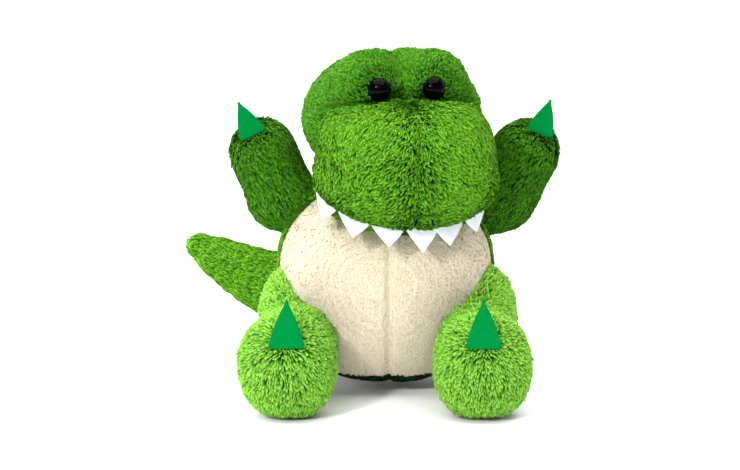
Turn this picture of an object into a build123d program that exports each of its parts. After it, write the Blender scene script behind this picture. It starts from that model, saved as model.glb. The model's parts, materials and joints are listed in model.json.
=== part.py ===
from build123d import *
import math
import os

os.makedirs("parts", exist_ok=True)

# Millimetres, Z up. The toy sits facing -Y, with its own left at +X.
# The origin is the middle of the flat seat, on the surface that it sits on.

# cloth and felt
SKIN = 3.2  # plush cloth with its pile pressed half way down
FILL_GAP = 0.2  # between the cloth and the filling
JOINT_GAP = 0.5  # between two bodies round a joint
SWEEP_GAP = 1.1  # between the torso and the path of the muzzle
SWEEP_STEP = 0.35  # added at each stage of a swing
FELT = 1.6

# torso, a pear with a flat seat
SEAT_RADIUS = 27
BELLY_RADIUS = 51
BELLY_Z = 61
COLLAR_RADIUS = 31
COLLAR_Z = 93
SEAT_PANEL_Z = 9
SIDE_SEAM_Y = -6

# neck and head, the head made straight and then turned on the neck
NECK = Vector(2, 0, 98)
NECK_RADIUS = 17
HEAD_TURN = 10
CRANIUM_AT = (0, 1, 42.5)
CRANIUM_RADIUS = 38
CRANIUM_SPREAD = 8.5
MUZZLE_AT = (0, -34.5, 14)
MUZZLE_TURN = 30  # puts the seam of the turned face beside the middle
MUZZLE_RADIUS = 43.5
MUZZLE_EDGE = 22
BROW = ((15, -20, 60), 20.5)
MUZZLE_SEAM_Y = -33
MOUTH_Z = 10.5
MOUTH_TILT = 10.4
HEAD_TURNS = (-20, 8)
HEAD_NODS = (-12, 6)

# eyes, with their stems and locking washers
EYE_RADIUS = 6
EYE_DEPTH = 4.8
EYE_AT = (14, -39.8, 63)
EYE_OUTWARD = 14
STEM_RADIUS = 1.8
STEM_LENGTH = 11
WASHER_RADIUS = 6.5
WASHER_THICKNESS = 1.4

# teeth, cut along two curved felt strips
TEETH_ARC = (37.5, 33)
TEETH_BAND = 3
TOOTH_ANGLES = {-1: (23, 51, 80), 1: (6, 31, 56)}
TOOTH_WIDTH = 15.6
TOOTH_HEIGHT = 11.5
TOOTH_CUT = 60

# limbs: hip or shoulder, then the far end, for the right (-1) and the left (+1)
HIP = {-1: Vector(-42, -18, 35), 1: Vector(41, -18, 35)}
FOOT = {-1: Vector(-51, -68, 24.5), 1: Vector(46.5, -69, 24.5)}
HIP_RADIUS = 24.3
FOOT_RADIUS = 24.5
LEG_SEAM_RISE = 2  # of the seam between the two leg panels, above the hip
LEG_LIFT = 25
SHOULDER = {-1: Vector(-38, 12, 86.5), 1: Vector(39, 13, 86)}
HAND = {-1: Vector(-64, 12, 118), 1: Vector(69.5, 14, 117.5)}
SHOULDER_RADIUS = 14.5
HAND_RADIUS = 17.5
ARM_DROP = 30
ARM_SEAM_FORWARD = 8  # of the seam between the two arm panels, ahead of the hand

# claws
TOE_CLAW = (17, 23)
TOE_CLAW_UP = 35
TOE_CLAW_TILT = -8
TOE_CLAW_SINK = 0.6
HAND_CLAW = (14, 17)
HAND_CLAW_LEAN = {-1: 24, 1: 20}
HAND_CLAW_REACH = (14, 12.5)
HAND_CLAW_SPREAD = 6
CLAW_ROOT = 4
CLAW_TIP = 0.8
CLAW_NARROWED = 0.85

# tail
TAIL_ROOT = Vector(-17, 33, 35)
TAIL_BEND = Vector(-64, 45, 40)
TAIL_TIP = Vector(-98, 52, 61)
TAIL_RADII = (21, 16, 8)
TAIL_WAGS = (-8, 25)

SIDES = {"right": -1, "left": 1}
BIG = 400
HAIR = 0.01  # keeps two balls of a link from being quite equal


def link(start, start_radius, end, end_radius, grow=0.0):
    """Two balls and the cone that touches both, as one turned solid."""
    a, b = start_radius + grow, end_radius + grow
    length = (end - start).length
    lean = math.asin((a - b) / length)
    low = (a * math.cos(lean), a * math.sin(lean))
    high = (b * math.cos(lean), length + b * math.sin(lean))
    low_mid = (lean - math.pi / 2) / 2
    high_mid = (lean + math.pi / 2) / 2
    with BuildPart() as turned:
        with BuildSketch(Plane.XZ):
            with BuildLine():
                ThreePointArc(
                    (0, -a), (a * math.cos(low_mid), a * math.sin(low_mid)), low
                )
                Line(low, high)
                ThreePointArc(
                    high,
                    (b * math.cos(high_mid), length + b * math.sin(high_mid)),
                    (0, length + b),
                )
                Line((0, length + b), (0, -a))
            make_face()
        revolve(axis=Axis.Z)
    return Plane(origin=start, z_dir=end - start) * turned.part


def slab(low, high):
    """A box between two corners."""
    size = [h - l for l, h in zip(low, high)]
    middle = [(h + l) / 2 for l, h in zip(low, high)]
    return Pos(*middle) * Box(*size)


def turned_about(pivot, axis, angle):
    """The place of a thing swung by an angle about an axis through a pivot."""
    return Pos(*pivot) * Rot(*[c * angle for c in axis]) * Pos(*(-pivot))


def steps(low, high, count):
    """Evenly spaced numbers from low to high."""
    return [low + (high - low) * k / (count - 1) for k in range(count)]


def one(shape):
    """The largest solid of a shape, without slivers that a cut may leave."""
    return max(shape.solids(), key=lambda s: s.volume)


def save(node, shape):
    """Write one sub-part to its own file."""
    solid = one(shape)
    solid.label = node
    export_step(solid, f"parts/{node}.step")
    print(f"{node}: {solid.volume / 1000:.2f} cm3, valid {solid.is_valid}")


# the outer forms of the moving bodies


def torso_form(grow=0.0):
    """The pear that the belly and back panels make."""
    seat, belly, collar = SEAT_RADIUS + grow, BELLY_RADIUS + grow, COLLAR_RADIUS + grow
    bottom, top = -grow, COLLAR_Z + grow
    with BuildPart() as pear:
        with BuildSketch(Plane.XZ):
            with BuildLine():
                Line((0, bottom), (seat, bottom))
                TangentArc((belly, BELLY_Z), (seat, bottom), tangent=(0, -1))
                TangentArc((belly, BELLY_Z), (collar, top), tangent=(0, 1))
                Line((collar, top), (0, top))
                Line((0, top), (0, bottom))
            make_face()
        revolve(axis=Axis.Z)
    return pear.part


def cranium_form(grow=0.0):
    """The crown, round and a little wider than it is deep."""
    x, y, z = CRANIUM_AT
    ends = [Vector(side * CRANIUM_SPREAD + x, y, z) for side in (-1, 1)]
    return link(ends[0], CRANIUM_RADIUS, ends[1], CRANIUM_RADIUS - HAIR, grow)


def muzzle_form(grow=0.0):
    """A round pillow: a ball above, and a full rounded edge round a flat underside."""
    radius, edge = MUZZLE_RADIUS + grow, MUZZLE_EDGE + grow
    flat = radius - edge
    slant = math.sqrt(0.5)
    with BuildPart() as pillow:
        with BuildSketch(Plane.XZ):
            with BuildLine():
                Line((0, -edge), (flat, -edge))
                ThreePointArc(
                    (flat, -edge), (flat + edge * slant, -edge * slant), (radius, 0)
                )
                ThreePointArc((radius, 0), (radius * slant, radius * slant), (0, radius))
                Line((0, radius), (0, -edge))
            make_face()
        revolve(axis=Axis.Z)
    return Pos(*MUZZLE_AT) * Rot(0, 0, MUZZLE_TURN) * pillow.part


def head_form(grow=0.0):
    """Crown, muzzle and the two brows, before the head is turned."""
    (x, y, z), radius = BROW
    whole = cranium_form(grow) + muzzle_form(grow)
    for side in SIDES.values():
        whole = whole + Pos(side * x, y, z) * Sphere(radius + grow)
    return whole


def leg_form(side, grow=0.0):
    return link(HIP[side], HIP_RADIUS, FOOT[side], FOOT_RADIUS, grow)


def arm_form(side, grow=0.0):
    return link(SHOULDER[side], SHOULDER_RADIUS, HAND[side], HAND_RADIUS, grow)


def tail_root_form(grow=0.0):
    root, bend, _ = TAIL_RADII
    return link(TAIL_ROOT, root, TAIL_BEND, bend, grow)


def tail_form(grow=0.0):
    _, bend, tip = TAIL_RADII
    return tail_root_form(grow) + link(TAIL_BEND, bend, TAIL_TIP, tip, grow)


HEAD_PLACE = Pos(*NECK) * Rot(0, 0, HEAD_TURN)


def neck_ball(grow=0.0):
    return Pos(*NECK) * Sphere(NECK_RADIUS + grow)


# what the torso has to stay clear of, all the way through each joint's travel


def torso_clearances():
    cuts = [neck_ball(JOINT_GAP)]
    for turn in steps(*HEAD_TURNS, 3):
        for nod in (0, HEAD_NODS[1]):
            muzzle = Rot(nod, 0, 0) * muzzle_form(SWEEP_GAP)
            cuts.append(Pos(*NECK) * Rot(0, 0, HEAD_TURN + turn) * muzzle)
    for side in SIDES.values():
        cuts += swept(lambda grow, side=side: leg_form(side, grow), HIP[side], "X", -LEG_LIFT)
        drop = side * ARM_DROP
        cuts += swept(lambda grow, side=side: arm_form(side, grow), SHOULDER[side], "Y", drop)
    cuts += swept(tail_root_form, TAIL_ROOT, "Z", -TAIL_WAGS[0])
    cuts += swept(tail_root_form, TAIL_ROOT, "Z", -TAIL_WAGS[1])
    return cuts


def swept(form, pivot, axis, angle):
    """A form at rest, half way and at the end of its swing, each a touch fatter."""
    shapes = []
    for k in range(3):
        turn = {"X": (1, 0, 0), "Y": (0, 1, 0), "Z": (0, 0, 1)}[axis]
        fat = form(JOINT_GAP + SWEEP_STEP * k)
        shapes.append(turned_about(pivot, turn, angle * k / 2) * fat)
    return shapes


def carve(shape, tools):
    for tool in tools:
        shape = shape - tool
    return shape


def build_torso():
    cuts = torso_clearances()
    hollow = torso_form(-SKIN)
    shell = carve(torso_form() - hollow, cuts)
    save("torso_filling", carve(torso_form(-SKIN - FILL_GAP), cuts))
    low, seam = SEAT_PANEL_Z, SIDE_SEAM_Y
    save("seat_panel", shell & slab((-BIG, -BIG, -BIG), (BIG, BIG, low)))
    for name, side in SIDES.items():
        near, far = sorted((0, side * BIG))
        belly = slab((near, -BIG, low), (far, seam, BIG))
        back = slab((near, seam, low), (far, BIG, BIG))
        save(f"belly_panel_{name}", shell & belly)
        save(f"back_panel_{name}", shell & back)


def build_neck():
    save("neck_filling", neck_ball())


# the head


def eye(side):
    """A domed eye on its stem, facing -Y."""
    ball = (EYE_RADIUS**2 + EYE_DEPTH**2) / (2 * EYE_DEPTH)
    dome = Pos(0, ball - EYE_DEPTH, 0) * Sphere(ball)
    dome = dome & slab((-BIG, -BIG, -BIG), (BIG, 0, BIG))
    stem = Rot(90, 0, 0) * Cylinder(STEM_RADIUS, STEM_LENGTH)
    whole = dome + Pos(0, STEM_LENGTH / 2, 0) * stem
    return eye_place(side) * whole


def eye_place(side):
    x, y, z = EYE_AT
    return Pos(side * x, y, z) * Rot(0, 0, side * EYE_OUTWARD)


def eye_washer(side):
    disc = Cylinder(WASHER_RADIUS, WASHER_THICKNESS) - Cylinder(STEM_RADIUS, STEM_LENGTH)
    back = STEM_LENGTH - WASHER_THICKNESS
    return eye_place(side) * Pos(0, back, 0) * Rot(90, 0, 0) * disc


def mouth_place():
    return Pos(0, 0, MOUTH_Z) * Rot(MOUTH_TILT, 0, 0)


def tooth_strip(side):
    """Three pointed teeth below a band, cut from felt that follows the mouth."""
    x, y, _ = MUZZLE_AT
    along, across = TEETH_ARC
    tall = TOOTH_HEIGHT + TEETH_BAND
    outer = extrude(Ellipse(along, across), tall)
    inner = extrude(Ellipse(along - FELT, across - FELT), tall)
    wall = Pos(x, y, -TOOTH_HEIGHT) * (outer - inner)
    half = TOOTH_WIDTH / 2
    teeth = None
    for angle in TOOTH_ANGLES[side]:
        flat = make_face(Polyline((-half, 0), (0, -TOOTH_HEIGHT), (half, 0), close=True))
        wedge = extrude(Plane.XZ * flat, TOOTH_CUT)
        band = slab((-TOOTH_WIDTH, -TOOTH_CUT, 0), (TOOTH_WIDTH, 0, TEETH_BAND))
        both = Pos(x, y, 0) * Rot(0, 0, side * angle) * (wedge + band)
        piece = wall & both
        teeth = piece if teeth is None else teeth + piece
    front, back = TOOTH_ANGLES[side][0], TOOTH_ANGLES[side][-1]
    for angle, way in ((front, -1), (back, 1)):
        past = side * way * TOOTH_WIDTH / 2
        near, far = sorted((past, side * way * BIG))
        off = slab((near, -TOOTH_CUT, 0), (far, 0, TEETH_BAND + 1))
        teeth = teeth - Pos(x, y, 0) * Rot(0, 0, side * angle) * off
    return mouth_place() * teeth


def build_head():
    hollow = head_form(-SKIN)
    socket = Sphere(NECK_RADIUS + JOINT_GAP)
    shell = head_form() - hollow - socket
    filling = head_form(-SKIN - FILL_GAP) - socket
    below_mouth = mouth_place() * slab((-BIG, -BIG, -BIG), (BIG, BIG, 0))
    above_mouth = mouth_place() * slab((-BIG, -BIG, 0), (BIG, BIG, BIG))
    pieces = {}
    for name, side in SIDES.items():
        pieces[f"eye_{name}"] = eye(side)
        pieces[f"eye_washer_{name}"] = eye_washer(side)
        pieces[f"tooth_strip_{name}"] = tooth_strip(side)
    for piece in pieces.values():
        shell = shell - piece
        filling = filling - piece
    pieces["head_filling"] = filling
    pieces["chin_panel"] = shell & below_mouth
    upper = shell & above_mouth
    for name, side in SIDES.items():
        near, far = sorted((0, side * BIG))
        front = slab((near, -BIG, -BIG), (far, MUZZLE_SEAM_Y, BIG))
        back = slab((near, MUZZLE_SEAM_Y, -BIG), (far, BIG, BIG))
        pieces[f"muzzle_panel_{name}"] = upper & front
        pieces[f"crown_panel_{name}"] = upper & back
    for node, shape in pieces.items():
        save(node, HEAD_PLACE * shape)


# the limbs and the tail


def claw(width, height):
    """A pointed felt claw standing on z = 0, with its root below."""
    half = width / 2
    outline = Polyline(
        (-half, 0),
        (-half * CLAW_NARROWED, -CLAW_ROOT),
        (half * CLAW_NARROWED, -CLAW_ROOT),
        (half, 0),
        (CLAW_TIP, height),
        (-CLAW_TIP, height),
        close=True,
    )
    return extrude(Plane.XZ * make_face(outline), FELT / 2, both=True)


def toe_claw(side):
    up = math.radians(TOE_CLAW_UP)
    x, y, z = FOOT[side]
    reach = FOOT_RADIUS - TOE_CLAW_SINK
    y -= reach * math.cos(up)
    z += reach * math.sin(up)
    return Pos(x, y, z) * Rot(TOE_CLAW_TILT, 0, 0) * claw(*TOE_CLAW)


def hand_claw(side):
    x, y, z = HAND[side]
    lean = HAND_CLAW_LEAN[side]
    reach, rise = HAND_CLAW_REACH
    away = reach * math.sin(math.radians(lean + HAND_CLAW_SPREAD)) * side
    foot = Pos(x + away, y - ARM_SEAM_FORWARD, z + rise)
    return foot * Rot(0, side * lean, 0) * claw(*HAND_CLAW)


def build_limb(name, form, splits, horn):
    """A sewn limb: two cloth panels round a filling, with a claw in their seam."""
    shell = form(0) - form(-SKIN) - horn
    save(f"{name}_filling", form(-SKIN - FILL_GAP) - horn)
    save(f"{name}_claw", horn)
    for panel, region in splits.items():
        save(f"{name}_{panel}", shell & region)


def build_legs():
    for name, side in SIDES.items():
        seam = HIP[side].Z + LEG_SEAM_RISE
        upper = slab((-BIG, -BIG, seam), (BIG, BIG, BIG))
        lower = slab((-BIG, -BIG, -BIG), (BIG, BIG, seam))
        build_limb(
            f"leg_{name}",
            lambda grow, side=side: leg_form(side, grow),
            {"top_panel": upper, "sole_panel": lower},
            toe_claw(side),
        )


def build_arms():
    for name, side in SIDES.items():
        seam = HAND[side].Y - ARM_SEAM_FORWARD
        front = slab((-BIG, -BIG, -BIG), (BIG, seam, BIG))
        back = slab((-BIG, seam, -BIG), (BIG, BIG, BIG))
        build_limb(
            f"arm_{name}",
            lambda grow, side=side: arm_form(side, grow),
            {"front_panel": front, "back_panel": back},
            hand_claw(side),
        )


def build_tail():
    shell = tail_form() - tail_form(-SKIN)
    save("tail_filling", tail_form(-SKIN - FILL_GAP))
    along = TAIL_TIP - TAIL_ROOT
    seam = Plane(origin=TAIL_BEND, z_dir=Vector(-along.Y, along.X, 0))
    save("tail_panel_front", shell & seam * slab((-BIG, -BIG, 0), (BIG, BIG, BIG)))
    save("tail_panel_back", shell & seam * slab((-BIG, -BIG, -BIG), (BIG, BIG, 0)))


build_torso()
build_neck()
build_head()
build_legs()
build_arms()
build_tail()
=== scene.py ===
# %% [markdown]
# # A sitting plush dinosaur
#
# The toy is cut from green long-pile plush and a cream short-pile belly, filled with
# polyester fibre, with felt claws and teeth and two glossy safety eyes. Everything is
# worked out in millimetres, in the frame of the CAD model, and turned into metres at the end.

# %% Load the frame
import json
import math

import bpy
import numpy as np
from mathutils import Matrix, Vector


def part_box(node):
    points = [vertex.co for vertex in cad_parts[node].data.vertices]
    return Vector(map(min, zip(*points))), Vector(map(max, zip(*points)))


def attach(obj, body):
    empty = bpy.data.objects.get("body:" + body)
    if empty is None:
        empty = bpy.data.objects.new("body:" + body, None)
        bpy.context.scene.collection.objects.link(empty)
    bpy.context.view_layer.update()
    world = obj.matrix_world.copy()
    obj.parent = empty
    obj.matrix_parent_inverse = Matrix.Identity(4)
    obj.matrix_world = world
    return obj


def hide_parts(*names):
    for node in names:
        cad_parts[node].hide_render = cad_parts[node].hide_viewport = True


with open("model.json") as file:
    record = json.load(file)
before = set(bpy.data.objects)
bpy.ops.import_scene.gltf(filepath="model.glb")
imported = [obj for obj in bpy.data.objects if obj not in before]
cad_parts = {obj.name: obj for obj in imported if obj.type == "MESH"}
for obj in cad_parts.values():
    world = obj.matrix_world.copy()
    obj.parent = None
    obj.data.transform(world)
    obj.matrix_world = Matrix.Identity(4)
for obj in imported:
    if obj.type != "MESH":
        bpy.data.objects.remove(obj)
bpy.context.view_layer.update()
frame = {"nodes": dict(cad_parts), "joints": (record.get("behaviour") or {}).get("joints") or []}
MM = 0.001


# %% [markdown]
# ## Where the joints are
#
# Each limb is sewn on at a joint of the frame, and the far ends of the limbs come from
# the boxes of their CAD parts, so the soft shapes sit where the moving bodies are.


# %% Joints and limb ends
def joint_at(name):
    """A joint's pivot in millimetres."""
    joint = next(j for j in frame["joints"] if j["name"] == name)
    return np.array(joint["pos_m"], float) / MM


def node_box(node):
    """A CAD part's low and high corners in millimetres."""
    low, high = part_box(node)
    return np.array(low) / MM, np.array(high) / MM


SIDES = {"right": -1, "left": 1}
LEG_SEAM_RISE = 2  # the seam round a leg, above the hip
ARM_SEAM_FORWARD = 8  # the seam round an arm, in front of the hand's middle
SIDE_SEAM = -3  # where belly and back panels meet, along Y
SEAT_TOP = 11
TABLE = 0
NECK = joint_at("neck_turn")
nod_axis = next(j for j in frame["joints"] if j["name"] == "head_nod")["axis"]
HEAD_TURN = math.atan2(nod_axis[1], nod_axis[0])
HIP = {side: joint_at(f"leg_{name}_lift") for name, side in SIDES.items()}
SHOULDER = {side: joint_at(f"arm_{name}_drop") for name, side in SIDES.items()}
TAIL = joint_at("tail_wag")
FOOT_RADIUS = 24.5
HAND_RADIUS = 17.5


def foot_centre(name):
    """The middle of a round foot, from the box of its sole panel."""
    low, high = node_box(f"leg_{name}_sole_panel")
    outer = high[0] if SIDES[name] > 0 else low[0]
    return np.array([outer - SIDES[name] * FOOT_RADIUS, low[1] + FOOT_RADIUS, FOOT_RADIUS])


def hand_centre(name):
    """The middle of a round hand, from the box of its back panel."""
    low, high = node_box(f"arm_{name}_back_panel")
    outer = high[0] if SIDES[name] > 0 else low[0]
    return np.array([outer - SIDES[name] * HAND_RADIUS, high[1] - HAND_RADIUS, high[2] - HAND_RADIUS])


FOOT = {side: foot_centre(name) for name, side in SIDES.items()}
HAND = {side: hand_centre(name) for name, side in SIDES.items()}
print("feet:", {k: v.round(1).tolist() for k, v in FOOT.items()})
print("hands:", {k: v.round(1).tolist() for k, v in HAND.items()})


# %% [markdown]
# ## Soft forms
#
# A stuffed toy has no sharp corners: fibre pushes every panel out until it is round, and
# the seams hold it in. Each body is described by how far a point is from its surface,
# made of balls and tapered limbs that melt into each other, and a groove pulls the
# surface in along each seam.


# %% Distance to balls and limbs
def ball(points, centre, radii, power=2.0):
    """Distance to a ball stretched to three radii; a higher power makes it boxier."""
    q = np.abs(points - np.array(centre)) / np.array(radii)
    reach = (q**power).sum(1) ** (1 / power)
    slope = np.sqrt((((q ** (power - 1)) / np.array(radii)) ** 2).sum(1))
    return (reach - 1) * reach ** (power - 1) / np.maximum(slope, 1e-6)


def pillow(points, centre, radii, depth, level=2.0, up=2.0, down=2.0):
    """Distance to a cushion with its own shape above and below its widest level."""
    q = points - np.array(centre, float)
    above = q[:, 2] > 0
    wide = (np.abs(q[:, 0] / radii[0]) ** level + np.abs(q[:, 1] / radii[1]) ** level) ** (1 / level)
    high = np.abs(q[:, 2]) / np.where(above, radii[2], depth)
    power = np.where(above, up, down)
    reach = np.maximum((wide**power + high**power) ** (1 / power), 0.05)
    return np.linalg.norm(q, axis=1) * (1 - 1 / reach)


def limb(points, start, start_radius, end, end_radius):
    """Distance to a tapered, round-ended limb."""
    start, end = np.array(start, float), np.array(end, float)
    along = end - start
    share = np.clip((points - start) @ along / (along @ along), 0, 1)
    nearest = start + share[:, None] * along
    radius = start_radius + share * (end_radius - start_radius)
    return np.linalg.norm(points - nearest, axis=1) - radius


def melt(a, b, softness):
    """Two shapes joined with a soft fillet between them."""
    overlap = np.maximum(softness - np.abs(a - b), 0) / softness
    return np.minimum(a, b) - overlap**2 * softness / 4


def flatten(a, b, softness):
    """The part of one shape inside another, with a soft edge."""
    return -melt(-a, -b, softness)


def groove(distance, depth, width):
    """How far a seam pulls the cloth in, at a distance from the seam."""
    return depth * np.exp(-((distance / width) ** 2))


def lumps(points, size, seed):
    """Smooth uneven swelling, as loose filling gives, between about -1 and 1."""
    own = np.random.default_rng(seed)
    total = np.zeros(len(points))
    for _ in range(6):
        wave = own.normal(size=3)
        wave *= 2 * math.pi / size / np.linalg.norm(wave)
        total += np.sin(points @ wave + own.uniform(0, 6.28))
    return total / 4


# %% [markdown]
# A grid of distances becomes a skin of even quads: each cell that the surface crosses
# gives one point, which is then moved onto the surface.


# %% From distance to mesh
def slopes(field, points, step=0.05):
    """The direction in which the distance grows, for each point."""
    found = np.empty_like(points)
    for k in range(3):
        shift = np.zeros(3)
        shift[k] = step
        found[:, k] = field(points + shift) - field(points - shift)
    return found / (2 * step)


def surface(field, low, high, step):
    """A quad mesh of the surface where the distance is nought: points, quads, normals."""
    low = np.array(low, float)
    count = np.ceil((np.array(high) - low) / step).astype(int) + 1
    grid = np.stack(np.meshgrid(*[np.arange(n) for n in count], indexing="ij"), -1)
    values = field(low + grid.reshape(-1, 3) * step).reshape(count)
    cells = tuple(count - 1)
    total = int(np.prod(cells))
    sums, hits, quads = np.zeros((total, 3)), np.zeros(total), []
    for a in range(3):
        b, c = (a + 1) % 3, (a + 2) % 3
        near, far = [slice(None)] * 3, [slice(None)] * 3
        near[a], far[a] = slice(0, -1), slice(1, None)
        v0, v1 = values[tuple(near)], values[tuple(far)]
        edge = np.argwhere((v0 < 0) != (v1 < 0))
        edge = edge[(edge[:, b] > 0) & (edge[:, c] > 0)]
        edge = edge[(edge[:, b] < cells[b]) & (edge[:, c] < cells[c])]
        start, stop = v0[tuple(edge.T)], v1[tuple(edge.T)]
        crossing = edge.astype(float)
        crossing[:, a] += start / (start - stop)
        ring = []
        for ob, oc in ((-1, -1), (0, -1), (0, 0), (-1, 0)):
            cell = edge.copy()
            cell[:, b] += ob
            cell[:, c] += oc
            flat = np.ravel_multi_index(cell.T, cells)
            hits += np.bincount(flat, minlength=total)
            for k in range(3):
                sums[:, k] += np.bincount(flat, crossing[:, k], minlength=total)
            ring.append(flat)
        ring = np.stack(ring, 1)
        ring[start >= 0] = ring[start >= 0][:, ::-1]
        quads.append(ring)
    used = np.flatnonzero(hits)
    points = low + sums[used] / hits[used][:, None] * step
    index = np.full(total, -1)
    index[used] = np.arange(len(used))
    for _ in range(4):
        slope = slopes(field, points)
        points -= slope * (field(points) / np.maximum((slope**2).sum(1), 1e-6))[:, None]
    slope = slopes(field, points)
    normals = slope / np.linalg.norm(slope, axis=1)[:, None]
    return points, index[np.concatenate(quads)], normals


# %% [markdown]
# ## The forms of the toy
#
# The head is a round crown with two brow bumps over the eyes and a big pillow of a
# muzzle; the torso is a pear that sits flat; legs and arms are short and thick, with
# round feet and mitten hands; the tail tapers and curls up to its own right.

# %% Head
COS, SIN = math.cos(HEAD_TURN), math.sin(HEAD_TURN)


def to_head(points):
    """Points in the head's own frame, looking along -Y from the neck."""
    p = points - NECK
    return np.stack([p[:, 0] * COS + p[:, 1] * SIN, p[:, 1] * COS - p[:, 0] * SIN, p[:, 2]], 1)


def from_head(points):
    """Points of the head's own frame in the frame of the model."""
    p = np.atleast_2d(np.array(points, float))
    x = p[:, 0] * COS - p[:, 1] * SIN
    y = p[:, 1] * COS + p[:, 0] * SIN
    return np.stack([x, y, p[:, 2]], 1) + NECK


MOUTH_HEIGHT = 15.2
MOUTH_SLOPE = 0.32
MOUTH_RISE = 0.0026
MOUTH_LEAN = 0.05
# each ball: its middle in the head's own frame, and its three radii
CROWN = ((0, 2, 41), (46, 38, 35.5))
BROW = ((16.5, -18.5, 58), (19, 22.5, 21))
CHEEK = ((31, -33, 15), (13, 20, 15))
MUZZLE = dict(centre=(0, -36, 24), radii=(44.5, 42, 33.5), depth=34, level=2.3, up=3.2, down=2.5)
# each seam or crease: how far it pulls the cloth in, and how wide
MIDDLE_SEAM = (0.9, 2.0)
TOP_DIP = (2.0, 6.0)
TOP_DIP_LEVEL = 62
MUZZLE_CREASE = (2.2, 3.0)
MOUTH_SEAM = (1.3, 2.0)
MOUTH_CORNER = 5
print(f"the head is turned by {math.degrees(HEAD_TURN):.1f} degrees")


def mouth_line(p):
    """Height of the mouth seam in the head's frame: low in front, higher at the sides."""
    level = MOUTH_HEIGHT + p[:, 1] * MOUTH_SLOPE
    return level + p[:, 0] ** 2 * MOUTH_RISE - p[:, 0] * MOUTH_LEAN


def head_field(points):
    """Crown, brows, muzzle and cheeks, with their seams and the crease between them."""
    p = to_head(points)
    mirrored = p.copy()
    mirrored[:, 0] = np.abs(p[:, 0])
    crown = ball(p, *CROWN)
    brow = ball(mirrored, *BROW)
    crown = melt(crown, brow, 8)
    muzzle = pillow(p, **MUZZLE)
    cheek = ball(mirrored, *CHEEK)
    muzzle = melt(muzzle, cheek, 10)
    whole = melt(crown, muzzle, 1.5) + groove(crown - muzzle, *MUZZLE_CREASE)
    above = np.clip((p[:, 2] - mouth_line(p) + 2) / 4, 0, 1)
    whole += groove(p[:, 0], *MIDDLE_SEAM) * above
    whole += groove(p[:, 0], *TOP_DIP) * np.clip((p[:, 2] - TOP_DIP_LEVEL) / 8, 0, 1)
    whole += groove(p[:, 2] - mouth_line(p), *MOUTH_SEAM) * (p[:, 1] < MOUTH_CORNER)
    return whole - 0.4 * lumps(points, 32, 3)


# %% Torso and neck
PEAR = dict(centre=(-2, 1, 64), radii=(54.5, 50, 44), depth=64, level=2.3, up=2.0, down=2.1)
BELLY_SEAM = (1.3, 2.2)
CLOTH_SEAM = (0.8, 1.8)
NECK_RADIUS = 21
print(f"the torso is {2 * PEAR['radii'][0]:.0f} mm wide and {2 * PEAR['radii'][1]:.0f} mm deep")


def torso_field(points):
    """A pear that sits flat, with a middle seam and a side seam."""
    pear = pillow(points, **PEAR)
    whole = flatten(pear, 1.0 - points[:, 2], 9)
    front = np.clip(-points[:, 1] / 20, -1, 1)
    whole += groove(points[:, 0], *BELLY_SEAM) * np.abs(front)
    whole += groove(points[:, 1] - SIDE_SEAM, *CLOTH_SEAM)
    return whole - 0.5 * lumps(points, 40, 5)


def neck_field(points):
    """The short neck between torso and head, which never shows."""
    return limb(points, NECK + [0, 2, -14], NECK_RADIUS, NECK + [0, 1, 6], NECK_RADIUS)


# %% Legs, arms and tail
HAUNCH_RADII = (22.5, 23, 25)
SHANK_RADII = (21.5, 19.5)
SHOE_RADII = (24.4, 21.5, 26.2)
SHOE_POWER = 2.15
ANKLE_CREASE = (2.0, 2.8)
ARM_RADII = (14.5, 17, 17.8)  # at the shoulder, the elbow and the hand
ARM_SEAM = (0.7, 1.6)
TAIL_RADIUS = 21.5
TAIL_TAPER = 13.5
TAIL_BEND = (-42, 11, 1)  # from the tail's root to where its curve is drawn to
TIP_RADIUS = 5


def leg_field(side):
    """Haunch and shank, and a rounder foot set off by a crease."""
    hip, foot = HIP[side], FOOT[side]
    knee = hip * 0.45 + foot * 0.55 + [0, 0, 1]

    def field(points):
        haunch = ball(points, hip + [side * 1, 8, 6], HAUNCH_RADII)
        shank = limb(points, hip + [side * 1, 2, -5], SHANK_RADII[0], knee, SHANK_RADII[1])
        whole = melt(haunch, shank, 8)
        shoe = ball(points, foot + [0, 0.5, 1.3], SHOE_RADII, SHOE_POWER)
        whole = melt(whole, shoe, 2) + groove(whole - shoe, *ANKLE_CREASE)
        whole = flatten(whole, 0.8 - points[:, 2], 4)
        seam = points[:, 2] - hip[2] - LEG_SEAM_RISE
        whole += groove(seam, *CLOTH_SEAM) * np.clip((points[:, 1] - hip[1]) / 12, 0, 1)
        return whole - 0.4 * lumps(points, 30, 11 + side)

    return field


def arm_field(side):
    """A bent arm that ends in a round hand."""
    shoulder, hand = SHOULDER[side], HAND[side]
    elbow = shoulder * 0.5 + hand * 0.5 + [side * 4.0, 0, -6.0]

    def field(points):
        upper = limb(points, shoulder, ARM_RADII[0], elbow, ARM_RADII[1])
        lower = limb(points, elbow, ARM_RADII[1], hand, ARM_RADII[2])
        whole = melt(upper, lower, 5)
        whole += groove(points[:, 1] - hand[1] + ARM_SEAM_FORWARD, *ARM_SEAM)
        return whole - 0.4 * lumps(points, 26, 21 + side)

    return field


def tail_points():
    """The middle of the tail from root to tip, with its radius at each."""
    low, high = node_box("tail_filling")
    tip = np.array([low[0] + TIP_RADIUS, high[1] - TIP_RADIUS, high[2] - TIP_RADIUS])
    share = np.linspace(0, 1, 9)
    bend = TAIL + TAIL_BEND
    path = np.array([(1 - t) ** 2 * TAIL + 2 * t * (1 - t) * bend + t**2 * tip for t in share])
    radii = TAIL_RADIUS - TAIL_TAPER * share**1.7
    return path, radii


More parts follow.
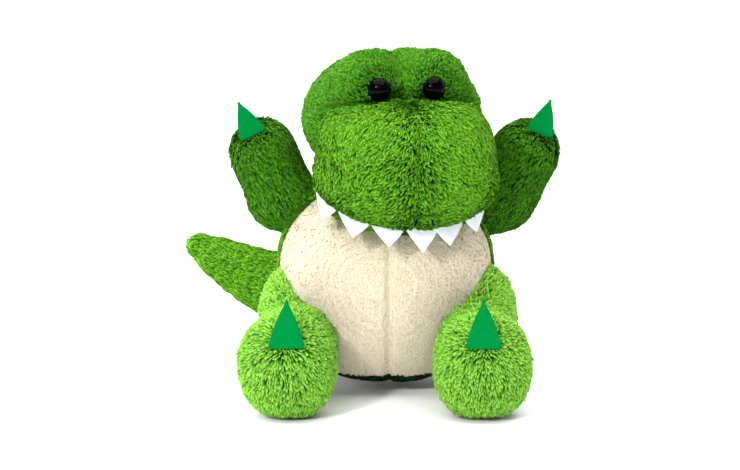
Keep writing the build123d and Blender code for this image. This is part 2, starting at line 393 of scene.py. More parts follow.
TAIL_PATH, TAIL_RADII = tail_points()
TAIL_MIDDLE = TAIL_PATH[4]
TAIL_AWAY = TAIL_PATH[-1] - TAIL_PATH[0]
TAIL_ACROSS = np.array([-TAIL_AWAY[1], TAIL_AWAY[0], 0]) / math.hypot(TAIL_AWAY[0], TAIL_AWAY[1])
print("the tail's tip:", TAIL_PATH[-1].round(1).tolist())


def tail_field(points):
    """Tapered lengths that melt into one tail, with its long seam."""
    whole = None
    for k in range(len(TAIL_PATH) - 1):
        part = limb(points, TAIL_PATH[k], TAIL_RADII[k], TAIL_PATH[k + 1], TAIL_RADII[k + 1])
        whole = part if whole is None else melt(whole, part, 3)
    whole += groove((points - TAIL_MIDDLE) @ TAIL_ACROSS, *CLOTH_SEAM)
    return whole - 0.4 * lumps(points, 28, 31)


# %% [markdown]
# ## Cloth and pile
#
# Plush is a knitted backing with a pile of fibres. The fibres stick together in small
# clumps that lie the way the cloth was brushed. Each panel gets a smooth backing, and
# clumps of flat blades all over it, coloured with painted shade at the root, between the
# tufts, and a painted highlight at the tip.


# %% Make an object
def new_object(name, points, faces, smooth=True):
    """A mesh object from points in millimetres."""
    mesh = bpy.data.meshes.new(name)
    mesh.from_pydata((np.asarray(points) * MM).tolist(), [], [list(map(int, f)) for f in faces])
    mesh.update()
    if smooth:
        mesh.polygons.foreach_set("use_smooth", [True] * len(mesh.polygons))
    thing = bpy.data.objects.new(name, mesh)
    bpy.context.scene.collection.objects.link(thing)
    return thing


def fast_mesh(name, points, quads, triangles, values):
    """A big mesh of quads and triangles with values stored at its points."""
    mesh = bpy.data.meshes.new(name)
    mesh.vertices.add(len(points))
    mesh.vertices.foreach_set("co", (points * MM).astype(np.float32).ravel())
    corners = np.concatenate([quads.ravel(), triangles.ravel()]).astype(np.int32)
    mesh.loops.add(len(corners))
    mesh.loops.foreach_set("vertex_index", corners)
    mesh.polygons.add(len(quads) + len(triangles))
    starts = np.concatenate([np.arange(len(quads)) * 4, len(quads) * 4 + np.arange(len(triangles)) * 3])
    mesh.polygons.foreach_set("loop_start", starts.astype(np.int32))
    mesh.update(calc_edges=True)
    mesh.polygons.foreach_set("use_smooth", np.ones(len(mesh.polygons), bool))
    for key, numbers in values.items():
        mesh.attributes.new(key, "FLOAT", "POINT").data.foreach_set("value", numbers.astype(np.float32))
    return mesh


# %% Clumps of blades
def spread_over(points, quads, values, own, count):
    """Random places on the quads, and the values of the corners mixed for each place."""
    pick = np.repeat(np.arange(len(quads)), count)
    u = own.random(len(pick))
    v = (np.tile(np.arange(count), len(quads)) + own.random(len(pick))) / count
    weight = [(1 - u) * (1 - v), u * (1 - v), u * v, (1 - u) * v]
    place = sum(w[:, None] * points[quads[pick, k]] for k, w in enumerate(weight))
    mixed = sum(w[:, None] * values[quads[pick, k]] for k, w in enumerate(weight))
    return place, mixed


def unit(rows):
    """Each row at length one."""
    return rows / np.maximum(np.linalg.norm(rows, axis=1), 1e-9)[:, None]


def blades(
    points, quads, normals, clumps, per_clump, spread, length, width, rise, ruffle, comb, trim, hidden, seed
):
    """Clumps of flat blades on a skin: points, normals, quads, triangles, height, tone."""
    own = np.random.default_rng(seed)
    root, up = spread_over(points, quads, normals, own, clumps)
    seen = ~hidden(root)
    root, up = root[seen], unit(up[seen])
    lean = comb(root, up) + own.normal(scale=0.14, size=root.shape)
    lean += 0.22 * np.stack([lumps(root, 7.0, seed + 50 + k) for k in range(3)], 1)
    lean -= (lean * up).sum(1)[:, None] * up
    tall = length * own.uniform(0.8, 1.15, len(root)) * trim(root)
    tall *= 1 + 0.1 * lumps(root, 6.0, seed + 70)
    way = unit(rise * up + lean)
    tone = own.random(len(root))

    root, up, lean, way = [np.repeat(rows, per_clump, 0) for rows in (root, up, lean, way)]
    tall, tone = np.repeat(tall, per_clump), np.repeat(tone, per_clump)
    offset = own.normal(scale=spread, size=root.shape)
    offset -= (offset * up).sum(1)[:, None] * up
    start = root + offset
    tip = root + way * tall[:, None] + offset * 0.35
    middle = start * 0.5 + tip * 0.5 + up * (tall * 0.16)[:, None]
    flat = unit(np.cross(way, up) + own.normal(scale=0.45, size=up.shape))
    half = flat * (width / 2 * own.uniform(0.75, 1.2, len(root)))[:, None]
    turned = (np.cross(half, middle - start) * up).sum(1) < 0
    half[turned] *= -1
    low = start - 0.3 * up
    made = np.stack([low - 0.7 * half, low + 0.7 * half, middle - half, middle + half, tip], 1)
    made[:, :, 2] = np.maximum(made[:, :, 2], TABLE)
    facing = unit(up + ruffle * offset / spread + 0.1 * way)
    base = 5 * np.arange(len(root))[:, None]
    # where along the blade each point is; the plush ramp turns it into painted shade at the root and a
    # painted highlight at the tip
    lift = np.tile([0, 0, 0.55, 0.55, 1.0], len(root))
    shade = np.repeat(np.clip(tone + own.normal(scale=0.1, size=len(root)), 0, 1), 5)
    return (
        made.reshape(-1, 3),
        np.repeat(facing, 5, 0),
        base + [0, 1, 3, 2],
        base + [2, 3, 4],
        lift,
        shade,
    )


def panel(name, body, skin, inside, material, pile, replaced=()):
    """One cloth panel of a skin, with its backing and its pile, riding on a body."""
    points, quads, normals = skin
    quads = quads[inside(points[quads].mean(1))]
    used, quads = np.unique(quads, return_inverse=True)
    quads = quads.reshape(-1, 4)
    points, normals = points[used], normals[used]
    b_points, b_normals, b_quads, b_triangles, height, tone = blades(points, quads, normals, **pile)
    count = len(points)
    # the backing takes the root colour of the ramp: painted shade between the tufts
    mesh = fast_mesh(
        name,
        np.concatenate([points - 0.2 * normals, b_points]),
        np.concatenate([quads, b_quads + count]),
        b_triangles + count,
        {
            "pile_height": np.concatenate([np.zeros(count), height]),
            "pile_tone": np.concatenate([np.full(count, 0.5), tone]),
        },
    )
    mesh.normals_split_custom_set_from_vertices(np.concatenate([normals, b_normals]).tolist())
    thing = bpy.data.objects.new(name, mesh)
    bpy.context.scene.collection.objects.link(thing)
    mesh.materials.append(material)
    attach(thing, body)
    if replaced:
        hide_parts(*replaced)
    print(f"{name}: {count} backing points, {len(height) // 5} blades, {len(mesh.polygons)} faces")
    return thing


# %% [markdown]
# ## Finishes
#
# Plush is coloured by how far along its fibre a place is, with painted shade at the root
# and a painted highlight at the tip, and each tuft differs a little from the next. Felt is
# matt and mottled. The eyes are near-black moulded plastic.


# %% Colours and node helpers
def linear(red, green, blue):
    """A colour from its 0-255 screen values."""
    made = []
    for value in (red, green, blue):
        v = value / 255
        made.append(v / 12.92 if v <= 0.04045 else ((v + 0.055) / 1.055) ** 2.4)
    return (*made, 1.0)


def new_material(name):
    """A material with its nodes, its links and its main shader."""
    material = bpy.data.materials.new(name)
    material.use_nodes = True
    nodes = material.node_tree.nodes
    return material, nodes, material.node_tree.links, nodes["Principled BSDF"]


def plush(name, root, middle, tip, sheen, uneven=0.8, blotch=0.2):
    """Pile with painted shade at the roots, between the tufts, and a painted highlight at the tips."""
    material, nodes, links, shader = new_material(name)
    height = nodes.new("ShaderNodeAttribute")
    height.attribute_name = "pile_height"
    # the ramp from root to tip is painted shade at the root, between the tufts, and a painted highlight at
    # the tip
    ramp = nodes.new("ShaderNodeValToRGB")
    ramp.color_ramp.elements[0].color = root
    ramp.color_ramp.elements[1].color = tip
    step = ramp.color_ramp.elements.new(0.5)
    step.color = middle
    tone = nodes.new("ShaderNodeAttribute")
    tone.attribute_name = "pile_tone"
    place = nodes.new("ShaderNodeTexCoord")
    patch = nodes.new("ShaderNodeTexNoise")
    patch.inputs["Scale"].default_value = 60
    patch.inputs["Detail"].default_value = 2
    links.new(place.outputs["Object"], patch.inputs["Vector"])
    both = nodes.new("ShaderNodeMath")
    both.operation = "MULTIPLY_ADD"
    both.inputs[1].default_value = blotch
    links.new(patch.outputs["Fac"], both.inputs[0])
    scaled = nodes.new("ShaderNodeMath")
    scaled.operation = "MULTIPLY_ADD"
    scaled.inputs[1].default_value = uneven
    scaled.inputs[2].default_value = 1 - (uneven + blotch) / 2
    links.new(tone.outputs["Fac"], scaled.inputs[0])
    links.new(scaled.outputs[0], both.inputs[2])
    shade = nodes.new("ShaderNodeMix")
    shade.data_type = "RGBA"
    shade.blend_type = "MULTIPLY"
    shade.inputs["Factor"].default_value = 1.0
    links.new(height.outputs["Fac"], ramp.inputs["Fac"])
    links.new(ramp.outputs["Color"], shade.inputs["A"])
    links.new(both.outputs[0], shade.inputs["B"])
    links.new(shade.outputs["Result"], shader.inputs["Base Color"])
    shader.inputs["Roughness"].default_value = 0.85
    shader.inputs["Specular IOR Level"].default_value = 0.1
    shader.inputs["Sheen Weight"].default_value = sheen
    shader.inputs["Sheen Roughness"].default_value = 0.45
    shader.inputs["Sheen Tint"].default_value = tip
    return material


GREEN = plush(
    "green_plush",
    linear(4, 40, 0),
    linear(38, 100, 2),
    linear(122, 190, 44),
    1.0,
    0.7,
)
# a darker copy of the green plush: painted shade, used on the crown, the arms and the neck
SHADED_GREEN = plush(
    "green_plush_painted_shade",
    linear(2, 30, 0),
    linear(28, 84, 2),
    linear(84, 148, 28),
    0.6,
    0.8,
)
# a lighter copy of the green plush, with brighter tips: painted light, used on the legs and feet
LIT_GREEN = plush(
    "green_plush_painted_light",
    linear(4, 40, 0),
    linear(46, 112, 6),
    linear(158, 222, 84),
    1.0,
    0.7,
)
CREAM = plush(
    "belly_plush",
    linear(226, 209, 178),
    linear(231, 219, 192),
    linear(240, 230, 208),
    0.3,
    0.08,
    0.05,
)
SEAT = plush(
    "seat_cloth",
    linear(4, 24, 4),
    linear(8, 44, 10),
    linear(20, 66, 20),
    0.0,
    0.3,
)


def felt(name, colour, light):
    """Pressed wool felt: matt, with a fine mottled grain."""
    material, nodes, links, shader = new_material(name)
    place = nodes.new("ShaderNodeTexCoord")
    fibre = nodes.new("ShaderNodeTexNoise")
    fibre.inputs["Scale"].default_value = 900
    fibre.inputs["Detail"].default_value = 6
    fibre.inputs["Roughness"].default_value = 0.7
    links.new(place.outputs["Object"], fibre.inputs["Vector"])
    ramp = nodes.new("ShaderNodeValToRGB")
    ramp.color_ramp.elements[0].position = 0.3
    ramp.color_ramp.elements[0].color = colour
    ramp.color_ramp.elements[1].position = 0.7
    ramp.color_ramp.elements[1].color = light
    links.new(fibre.outputs["Fac"], ramp.inputs["Fac"])
    links.new(ramp.outputs["Color"], shader.inputs["Base Color"])
    bump = nodes.new("ShaderNodeBump")
    bump.inputs["Strength"].default_value = 0.35
    bump.inputs["Distance"].default_value = 0.0003
    links.new(fibre.outputs["Fac"], bump.inputs["Height"])
    links.new(bump.outputs["Normal"], shader.inputs["Normal"])
    shader.inputs["Roughness"].default_value = 0.95
    shader.inputs["Specular IOR Level"].default_value = 0.02
    return material


CLAW_FELT = felt("claw_felt", linear(0, 104, 44), linear(0, 122, 56))
TOOTH_FELT = felt("tooth_felt", linear(206, 212, 224), linear(226, 231, 240))


def plastic(name, colour, roughness, shine):
    """Moulded plastic with a very faint unevenness of its surface."""
    material, nodes, links, shader = new_material(name)
    place = nodes.new("ShaderNodeTexCoord")
    swirl = nodes.new("ShaderNodeTexNoise")
    swirl.inputs["Scale"].default_value = 250
    links.new(place.outputs["Object"], swirl.inputs["Vector"])
    bump = nodes.new("ShaderNodeBump")
    bump.inputs["Strength"].default_value = 0.02
    bump.inputs["Distance"].default_value = 0.0002
    links.new(swirl.outputs["Fac"], bump.inputs["Height"])
    links.new(bump.outputs["Normal"], shader.inputs["Normal"])
    shader.inputs["Base Color"].default_value = colour
    shader.inputs["Roughness"].default_value = roughness
    shader.inputs["Specular IOR Level"].default_value = shine
    return material


EYE_BLACK = plastic("eye_black", linear(0, 0, 0), 0.05, 0.055)
WASHER_WHITE = plastic("washer_white", linear(225, 225, 220), 0.5, 0.4)
FIBRE = felt("fibre_filling", linear(225, 226, 224), linear(248, 248, 246))


# %% [markdown]
# ## Brushing
#
# The pile of each panel lies one way. On the muzzle it runs from the middle seam out to
# the sides, on a leg away from a place above the foot, on an arm down to the shoulder,
# and on the tail to its tip. Belly pile is shorter and lies flatter than the rest.


# %% Directions of the pile
def toward(target, strength):
    """Pile that lies towards a direction."""
    way = np.array(target, float)
    way = way / np.linalg.norm(way) * strength
    return lambda root, up: np.tile(way, (len(root), 1))


def away_from(centre, strength, sag=0.0):
    """Pile that spreads from a point, and sags a little."""

    def comb(root, up):
        way = root - np.array(centre)
        way /= np.maximum(np.linalg.norm(way, axis=1), 1e-6)[:, None]
        return way * strength + [0, 0, -sag]

    return comb


PLUSH = dict(clumps=2, per_clump=5, spread=0.36, length=3.6, width=0.66, rise=0.55, ruffle=0.4)
SHAGGY = dict(PLUSH, length=4.2, rise=0.8)
VELVET = dict(clumps=4, per_clump=3, spread=0.3, length=1.3, width=0.6, rise=0.3, ruffle=0.12)
STEP = 1.55
PILE_DEPTH = 1.9  # the forms are measured over the pile, and the backing lies below it


def backing(field, low, high, depth=PILE_DEPTH):
    """The cloth under the pile."""
    return surface(lambda p: field(p) + depth, low, high, STEP)


def deep_in(*fields):
    """Whether a place is buried in another body, where pile can never be seen."""

    def hidden(root):
        buried = np.zeros(len(root), bool)
        for field in fields:
            buried |= field(root) < -9
        return buried

    return hidden


def shorter_by(distance, near=2.0, least=0.4):
    """Pile that gets shorter towards a seam, an eye or a claw."""
    return lambda root: 1 - (1 - least) * np.exp(-((np.maximum(distance(root), 0) / near) ** 2))


def all_of(*trims):
    """Several trims at once."""
    return lambda root: np.prod([trim(root) for trim in trims], 0)


# %% [markdown]
# ## Panels
#
# Five panels make the head: two muzzle panels, two crown panels and the chin. Pile is
# trimmed a little along the seams, and closely round the eyes.

# %% Head panels
HEAD_SPACE = (NECK - [60, 92, 16], NECK + [66, 56, 92])
head_skin = backing(head_field, *HEAD_SPACE)
EYES = {side: np.mean(node_box(f"eye_{name}"), 0) for name, side in SIDES.items()}


def on_muzzle(p):
    """The muzzle ends at the crease below the eyes, and at the cheeks."""
    return (p[:, 1] < -40.5) | ((p[:, 1] < -30) & (p[:, 2] < 50))


def head_comb(root, up):
    """Muzzle pile runs forward and out from the middle; crown pile runs up and back."""
    p = to_head(root)
    out = np.sign(p[:, 0]) * np.clip(np.abs(p[:, 0]) / 14, 0, 1)
    muzzle = np.stack([0.95 * out, 0 * out - 0.75, 0 * out - 0.5], 1)
    crown = np.stack([0.5 * out, 0 * out + 0.7, np.clip(-p[:, 1] / 20, -1, 1) * 0.5], 1)
    way = np.where(on_muzzle(p)[:, None], muzzle, crown)
    return from_head(way) - NECK


def to_eye(root):
    """Distance to the rim of the nearer eye."""
    return np.minimum(*[np.linalg.norm(root - at, axis=1) for at in EYES.values()]) - 7


def head_seams(root):
    """Distance to the middle seam above the mouth, or to the mouth seam."""
    p = to_head(root)
    middle = np.where(p[:, 2] > mouth_line(p), np.abs(p[:, 0]), 99)
    return np.minimum(middle, np.abs(p[:, 2] - mouth_line(p)))


head_trim = all_of(shorter_by(head_seams, 1.2, 0.7), shorter_by(to_eye, 2.5, 0.3))


def head_region(side, part):
    """Which part of the head's skin a panel covers."""
    def inside(centres):
        p = to_head(centres)
        on_side = p[:, 0] * side >= 0
        below = p[:, 2] < mouth_line(p)
        front = on_muzzle(p)
        if part == "chin":
            return below
        return on_side & ~below & (front == (part == "muzzle"))

    return inside


head_pile = dict(PLUSH, comb=head_comb, trim=head_trim, hidden=deep_in(neck_field))
for name, side in SIDES.items():
    for part in ("muzzle", "crown"):
        pile = dict(head_pile, seed=101 + side + 10 * (part == "crown"))
        if part == "crown":
            pile["rise"] = 0.45
        region = head_region(side, part)
        # the crown takes the darker copy of the green plush, as painted shade
        cloth = SHADED_GREEN if part == "crown" else GREEN
        panel(f"{part}_{name}", "head", head_skin, region, cloth, pile, [f"{part}_panel_{name}"])
panel("chin", "head", head_skin, head_region(1, "chin"), GREEN, dict(head_pile, seed=121), ["chin_panel"])

# %% [markdown]
# The torso has two cream belly panels, two green back panels and a dark seat. Pile that
# would be buried in the head, a limb or the tail is left out.

# %% Torso panels
TORSO_SPACE = ((-60, -56, -6), (62, 58, 112))
torso_skin = backing(torso_field, *TORSO_SPACE, 1.0)
LEGS = {side: leg_field(side) for side in SIDES.values()}
ARMS = {side: arm_field(side) for side in SIDES.values()}


def torso_region(side, part):
    """Which part of the torso's skin a panel covers."""
    def inside(c):
        low = c[:, 2] < SEAT_TOP
        front = c[:, 1] < SIDE_SEAM
        on_side = c[:, 0] * side >= 0
        if part == "seat":
            return low
        return on_side & ~low & (front == (part == "belly"))

    return inside


torso_trim = shorter_by(lambda root: np.abs(root[:, 0]), 1.6, 0.5)
torso_hidden = deep_in(head_field, tail_field, *LEGS.values(), *ARMS.values())
torso_pile = dict(trim=torso_trim, hidden=torso_hidden)
for name, side in SIDES.items():
    velvet = dict(VELVET, **torso_pile, comb=toward((side * 0.25, 0, -1), 0.8), seed=131 + side)
    region = torso_region(side, "belly")
    panel(f"belly_{name}", "torso", torso_skin, region, CREAM, velvet, [f"belly_panel_{name}"])
    plush_pile = dict(PLUSH, **torso_pile, comb=toward((0, 0.2, -1), 1.1), seed=141 + side)
    region = torso_region(side, "back")
    panel(f"back_{name}", "torso", torso_skin, region, GREEN, plush_pile, [f"back_panel_{name}"])
seat_pile = dict(VELVET, **torso_pile, comb=toward((0, 0, -1), 0.3), seed=151)
panel("seat", "torso", torso_skin, torso_region(1, "seat"), SEAT, seat_pile, ["seat_panel"])

neck_skin = backing(neck_field, NECK - [30, 30, 42], NECK + [30, 34, 36])
neck_pile = dict(PLUSH, comb=toward((0, 0, -1), 1.0), trim=shorter_by(lambda r: r[:, 2] * 0 + 99), seed=161)
neck_pile["hidden"] = deep_in(head_field, torso_field)
NECK_BAND = 12


def neck_region(centres):
    """A band round the neck, where head and torso leave it."""
    return np.abs(centres[:, 2] - NECK[2] + 4) < NECK_BAND


# the neck takes the darker copy of the green plush, as painted shade
panel("neck", "neck", neck_skin, neck_region, SHADED_GREEN, neck_pile, ["neck_filling"])

# %% [markdown]
# Legs, arms and the tail are each two panels. A leg's seam runs round it level with the
# hip, an arm's up its outside, and the tail's along it. Pile is trimmed short at a claw.


# %% Leg, arm and tail panels
def above(level, wanted):
    """The part of a skin above a level, or the rest of it."""
    return lambda c: (c[:, 2] >= level) == wanted


def ahead_of(place, wanted):
    """The part of a skin in front of a place, or the rest of it."""
    return lambda c: (c[:, 1] < place) == wanted


LEG_SPACE, ARM_SPACE = {}, {}
for name, side in SIDES.items():
    ends = np.stack([HIP[side], FOOT[side]])
    LEG_SPACE[side] = (ends.min(0) - [34, 34, 40], ends.max(0) + [34, 36, 40])
    ends = np.stack([SHOULDER[side], HAND[side]])
    ARM_SPACE[side] = (ends.min(0) - 26, ends.max(0) + 26)
TAIL_SPACE = (TAIL_PATH.min(0) - 26, TAIL_PATH.max(0) + 26)


def near_claw(node, forward):
    """Distance to the foot of a claw, on the side it shows."""
    low, high = node_box(node)
    base = np.array([(low[0] + high[0]) / 2, low[1] - forward, low[2] + 5])
    return lambda root: np.linalg.norm((root - base) * [0.6, 0.6, 1], axis=1)


for name, side in SIDES.items():
    skin = backing(LEGS[side], *LEG_SPACE[side])
    comb = away_from(FOOT[side] + [0, -18, 16], 1.1, 0.35)
    trim = shorter_by(near_claw(f"leg_{name}_claw", 0), 5.0, 0.35)
    leg_pile = dict(SHAGGY, comb=comb, trim=trim, hidden=deep_in(torso_field))
    for part in ("top", "sole"):
        top = part == "top"
        region = above(HIP[side][2] + LEG_SEAM_RISE, top)
        pile = dict(leg_pile, seed=171 + side + 5 * top)
        replaced = [f"leg_{name}_{part}_panel"]
        # the legs take the lighter copy of the green plush, as painted light
        panel(f"leg_{name}_{part}", f"leg_{name}", skin, region, LIT_GREEN, pile, replaced)

    skin = backing(ARMS[side], *ARM_SPACE[side])
    comb = toward(SHOULDER[side] - HAND[side] + [side * 6, -4, 0], 1.1)
    trim = shorter_by(near_claw(f"arm_{name}_claw", 0), 4.0, 0.35)
    arm_pile = dict(PLUSH, comb=comb, trim=trim, hidden=deep_in(torso_field, head_field))
    for part in ("front", "back"):
        front = part == "front"
        region = ahead_of(HAND[side][1] - ARM_SEAM_FORWARD, front)
        pile = dict(arm_pile, seed=191 + side + 5 * front)
        replaced = [f"arm_{name}_{part}_panel"]
        # the arms take the darker copy of the green plush, as painted shade
        panel(f"arm_{name}_{part}", f"arm_{name}", skin, region, SHADED_GREEN, pile, replaced)


def tail_side(wanted):
    """The front or the back of the tail's skin."""
    return lambda c: ((c - TAIL_MIDDLE) @ TAIL_ACROSS > 0) == wanted


skin = backing(tail_field, *TAIL_SPACE)
tail_seam = shorter_by(lambda root: np.abs((root - TAIL_MIDDLE) @ TAIL_ACROSS), 1.6, 0.5)
tail_pile = dict(PLUSH, comb=toward(TAIL_AWAY, 1.2), trim=tail_seam, hidden=deep_in(torso_field))
for part in ("front", "back"):
    front = part == "front"
    pile = dict(tail_pile, seed=211 + front)
    panel(f"tail_{part}", "tail", skin, tail_side(front), GREEN, pile, [f"tail_panel_{part}"])

# %% [markdown]
# ## Eyes, teeth and claws
#
# The eyes are black plastic domes, each on a stem that a washer locks inside the head.
# Teeth and claws are cut from felt and sewn into seams.


# %% Eyes
EYE_TURN = 14  # degrees out from straight ahead
EYE_APART = 14.0  # from the middle seam to each eye
EYE_DOME = 4.9  # how far the dome stands out
RIM_DEPTH = 0.9
STEM_RADIUS = 1.9
STEM_LENGTH = 10


def eye(name, side):
    """A domed eye with a rounded rim, turned about its stem."""
    low, high = node_box(f"eye_{name}")
    radius = (high[2] - low[2]) / 2
    middle = to_head((low + high)[None] / 2)[0]
    profile = []
    for k in range(17):
        angle = math.pi / 2 * k / 16
        profile.append((radius * math.sin(angle) ** 0.96, EYE_DOME * math.cos(angle)))
    profile += [(radius, -0.5), (radius * 0.96, -RIM_DEPTH), (STEM_RADIUS, -1.0)]
    profile += [(STEM_RADIUS, -STEM_LENGTH), (0.0, -STEM_LENGTH)]
    turns = 48
    points, faces = [], []
    for r, out in profile:
        for j in range(turns):
            a = 2 * math.pi * j / turns
            points.append((r * math.cos(a), -out, r * math.sin(a)))
    for i in range(len(profile) - 1):
        for j in range(turns):
            k = (j + 1) % turns
            faces.append((i * turns + j, (i + 1) * turns + j, (i + 1) * turns + k, i * turns + k))
    points = np.array(points)
    turn = math.radians(EYE_TURN) * side
    c, s = math.cos(turn), math.sin(turn)
    x, y, z = points.T
    turned = np.stack([x * c - y * s, y * c + x * s, z], 1)
    centre = np.array([side * EYE_APART, middle[1] - 0.6, middle[2] - 1])
    print(f"eye_{name}: {2 * radius:.1f} mm across, in the head at {centre.round(1).tolist()}")
    thing = new_object(f"eye_dome_{name}", from_head(turned + centre), faces)
    thing.data.materials.append(EYE_BLACK)
    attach(thing, "head")
    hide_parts(f"eye_{name}")


for name, side in SIDES.items():
    eye(name, side)
    washer = frame["nodes"][f"eye_washer_{name}"]
    for slot in washer.material_slots:
        slot.material = WASHER_WHITE


# %% [markdown]
# Felt shapes are cut from a flat sheet, so they have a straight root in the seam, sides
# that bulge a little and a soft edge all round.


# %% Felt shapes
FELT_LAYERS = ((0.0, 0.5), (0.8, 0.5), (0.955, 0.42), (1.0, 0.2))  # share of the outline, height


def felt_plate(outline, thickness, place):
    """A flat felt shape with soft edges; place takes (across, down, out) to the model."""
    outline = np.array(outline, float)
    middle = outline.mean(0)
    layers = []
    for share, out in FELT_LAYERS + tuple((share, -out) for share, out in FELT_LAYERS[::-1]):
        inset = middle + (outline - middle) * share
        layers.append(np.column_stack([inset, np.full(len(outline), out * thickness)]))
    count = len(outline)
    points = place(np.concatenate(layers))
    faces = []
    for i in range(len(layers) - 1):
        for j in range(count):
            k = (j + 1) % count
            faces.append((i * count + j, i * count + k, (i + 1) * count + k, (i + 1) * count + j))
    return points, faces


def pointed(width, height, root, tip_radius, bulge):
    """Outline of a felt point: straight root, bulging sides and a rounded tip."""
    half, side = width / 2, []
    side.append((half * 0.9, -root))
    side.append((half, 0.0))
    for k in range(1, 12):
        t = k / 12
        x = half * (1 - t) + bulge * math.sin(math.pi * t)
        side.append((max(x, tip_radius * 0.8), height * t * 0.985))
    for k in range(4):
        a = math.pi / 2 * k / 3
        side.append((tip_radius * math.cos(a) * 0.8, height - tip_radius + tip_radius * math.sin(a)))
    mirrored = [(-x, z) for x, z in reversed(side[:-1])]
    return side + mirrored


# %% [markdown]
# Three teeth on each side hang from the mouth seam. Each is bent round the muzzle, and
# stands a little out from it, more towards the cheeks.


# %% Teeth
TOOTH_WIDTH = 18.2
TOOTH_FELT_DEPTH = 1.5
# for each side, each tooth's angle round the muzzle from the front, and its length
TEETH = {-1: ((27, 10.5), (56, 10), (80, 9.8)), 1: ((10, 13.2), (40, 11.5), (68, 10.3))}
JAW_Y = -35


def jaw(angles):
    """Points of the mouth seam on the muzzle, at angles round it from the front."""
    near, far = np.full(len(angles), 5.0), np.full(len(angles), 60.0)
    for _ in range(30):
        reach = (near + far) / 2
        p = np.stack([np.sin(angles) * reach, JAW_Y - np.cos(angles) * reach, 0 * reach], 1)
        p[:, 2] = mouth_line(p)
        outside = head_field(from_head(p)) + PILE_DEPTH > 0
        far = np.where(outside, reach, far)
        near = np.where(outside, near, reach)
    return p


def tooth_strip(name, side):
    """Three white felt points that hang from the mouth seam."""
    points, faces = [], []
    for angle, height in TEETH[side]:
        outline = pointed(TOOTH_WIDTH, height, 2.5, 1.0, 0.6)

        def place(flat, angle=math.radians(angle) * side):
            ends = jaw(np.array([angle - 0.12, angle + 0.12]))
            reach = np.linalg.norm(ends[1] - ends[0]) / 0.24
            seam = jaw(angle + flat[:, 0] / reach)
            out = unit(np.stack([np.sin(angle + flat[:, 0] / reach), -np.cos(angle + flat[:, 0] / reach)], 1))
            down = flat[:, 1]
            push = flat[:, 2] + 0.3 + 1.6 * abs(math.sin(angle)) ** 3 + np.maximum(down, 0) * 0.1
            seam[:, :2] += out * push[:, None]
            seam[:, 2] -= down
            return from_head(seam)

        own_points, own_faces = felt_plate(outline, TOOTH_FELT_DEPTH, place)
        faces += [tuple(v + len(points) for v in f) for f in own_faces]
        points += own_points.tolist()
    print(f"teeth_{name}: {len(TEETH[side])} teeth, {len(faces)} faces")
    thing = new_object(f"teeth_{name}", points, faces)
    thing.data.materials.append(TOOTH_FELT)
    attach(thing, "head")
    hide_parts(f"tooth_strip_{name}")


for name, side in SIDES.items():
    tooth_strip(name, side)


# %% [markdown]
# Each claw stands in its seam, where the limb's surface is, with its root just inside.


# %% Claws
CLAW_FELT_DEPTH = 1.7
CLAW_ROOT = 1.5
LEG_CLAW = dict(width=17.8, height=22.5, lean_out=0, lean_back=12)
ARM_CLAW = dict(width=14.0, height=17.5, lean_back=0)
ARM_CLAW_LEAN = {-1: 24, 1: 18}


def front_of(field, place, sink):
    """The place moved along Y to just inside the front of a form."""
    steps = np.arange(-14, 14, 0.25)
    line = np.array(place) + np.outer(steps, [0, 1, 0])
    return line[np.argmax(field(line) < -sink)]


def claw(node, body, field, side, width, height, lean_out, lean_back):
    """A green felt claw that stands in its seam."""
    low, high = node_box(node)
    base = np.array([(low[0] + high[0]) / 2, (low[1] + high[1]) / 2 - 1.2, low[2] + 6.0])
    if lean_out:
        base[0] = (high[0] - 5.5) if side < 0 else (low[0] + 8.0)
    base = front_of(field, base, 0.6)
    outline = pointed(width, height, CLAW_ROOT, 1.1, 0.9)

    def place(flat):
        x, up, out = flat[:, 0], flat[:, 1], flat[:, 2]
        a, b = math.radians(lean_out) * side, math.radians(lean_back)
        bow = 0.6 * (x / (width / 2)) ** 2
        y = -out - bow + up * math.sin(b)
        z = up * math.cos(b)
        return base + np.stack([x * math.cos(a) + z * math.sin(a), y, z * math.cos(a) - x * math.sin(a)], 1)

    points, faces = felt_plate(outline, CLAW_FELT_DEPTH, place)
    print(f"{node}: root at {base.round(1).tolist()}")
    thing = new_object(f"{node}_felt", points, faces)
    thing.data.materials.append(CLAW_FELT)
    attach(thing, body)
    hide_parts(node)


for name, side in SIDES.items():
    claw(f"leg_{name}_claw", f"leg_{name}", LEGS[side], side, **LEG_CLAW)
    claw(f"arm_{name}_claw", f"arm_{name}", ARMS[side], side, lean_out=ARM_CLAW_LEAN[side], **ARM_CLAW)

# %% [markdown]
# ## Filling
#
# Inside the cloth is polyester fibre. It doesn't show, but each body has its own.

# %% Filling
FILLINGS = {
    "head": (head_field, *HEAD_SPACE, "head_filling"),
    "torso": (torso_field, *TORSO_SPACE, "torso_filling"),
    "tail": (tail_field, *TAIL_SPACE, "tail_filling"),
}
for name, side in SIDES.items():
    FILLINGS[f"leg_{name}"] = (LEGS[side], *LEG_SPACE[side], f"leg_{name}_filling")
    FILLINGS[f"arm_{name}"] = (ARMS[side], *ARM_SPACE[side], f"arm_{name}_filling")
CLOTH_AND_PILE = 4.5  # from the outside of a form to its filling
FILLING_STEP = 4.0
for body, (field, low, high, node) in FILLINGS.items():
    points, quads, _ = surface(lambda p, f=field: f(p) + CLOTH_AND_PILE, low, high, FILLING_STEP)
    print(f"{body}_fibre: {len(quads)} faces")
    thing = new_object(f"{body}_fibre", points, quads)
    thing.data.materials.append(FIBRE)
    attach(thing, body)
    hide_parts(node)

# %% [markdown]
# ## Stage
#
# The toy sits on pale paper. A big soft light hangs over it, a weak one fills from the
# front, a small bright one puts a glint in each eye, and two catch the edges of the pile.
# The camera looks a little down at it.


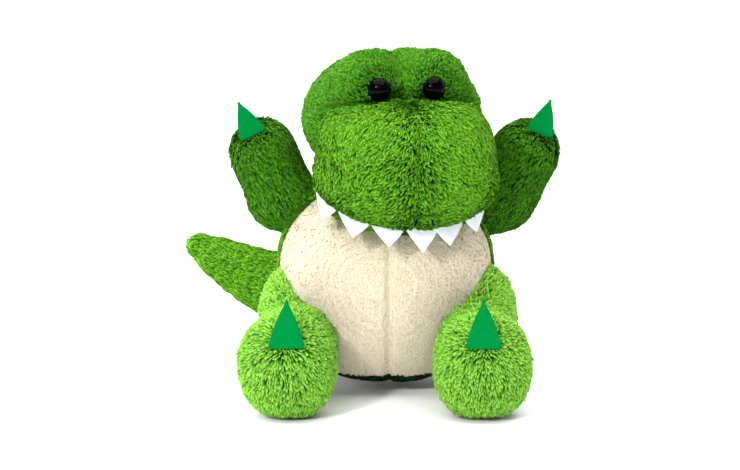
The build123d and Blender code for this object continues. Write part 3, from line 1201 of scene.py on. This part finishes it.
# %% Floor, light and camera
FLOOR_REACH = 4000
FLOOR_LEVEL = -0.5
corners = ((-1, -1), (1, -1), (1, 1), (-1, 1))
edges = [(x * FLOOR_REACH, y * FLOOR_REACH, FLOOR_LEVEL) for x, y in corners]
floor = new_object("floor", edges, [(0, 1, 2, 3)])
paper, nodes, links, shader = new_material("paper")
shader.inputs["Base Color"].default_value = (0.96, 0.96, 0.96, 1)
shader.inputs["Roughness"].default_value = 0.9
shader.inputs["Specular IOR Level"].default_value = 0.1
floor.data.materials.append(paper)


TARGET = (0, 0, 0.09)
# name: place in metres, side in metres, watts
SOFTBOXES = {
    "overhead": ((0, 0.0, 2.0), 3.0, 94),
    "front": ((-0.6, -2.4, 1.5), 1.4, 14),
    "key": ((-0.9, -1.7, 1.1), 0.22, 28),
    "left edge": ((-1.5, 0.9, 0.6), 1.0, 24),
    "right edge": ((1.5, 0.9, 0.6), 1.0, 5),
}
for name, (at, side, power) in SOFTBOXES.items():
    light = bpy.data.lights.new(name, "AREA")
    light.shape = "RECTANGLE"
    light.size = side
    light.size_y = side
    light.energy = power
    lamp = bpy.data.objects.new(name, light)
    lamp.location = at
    lamp.rotation_euler = (Vector(TARGET) - Vector(at)).to_track_quat("-Z", "Y").to_euler()
    bpy.context.scene.collection.objects.link(lamp)

world = bpy.data.worlds.new("studio")
bpy.context.scene.world = world
world.use_nodes = True
world.node_tree.nodes["Background"].inputs["Color"].default_value = (1, 1, 1, 1)
world.node_tree.nodes["Background"].inputs["Strength"].default_value = 0.45

AIM = Vector((-0.0097, 0, 0.0778))
DISTANCE = 2.5
RISE = math.radians(12)
WIDTH_SEEN = 0.377
SENSOR = 36
camera_data = bpy.data.cameras.new("camera")
camera_data.lens = SENSOR * DISTANCE / WIDTH_SEEN
camera = bpy.data.objects.new("camera", camera_data)
camera.location = AIM + Vector((0, -DISTANCE * math.cos(RISE), DISTANCE * math.sin(RISE)))
camera.rotation_euler = (AIM - camera.location).to_track_quat("-Z", "Y").to_euler()
bpy.context.scene.collection.objects.link(camera)
bpy.context.scene.camera = camera
bpy.context.scene.view_settings.view_transform = "Standard"
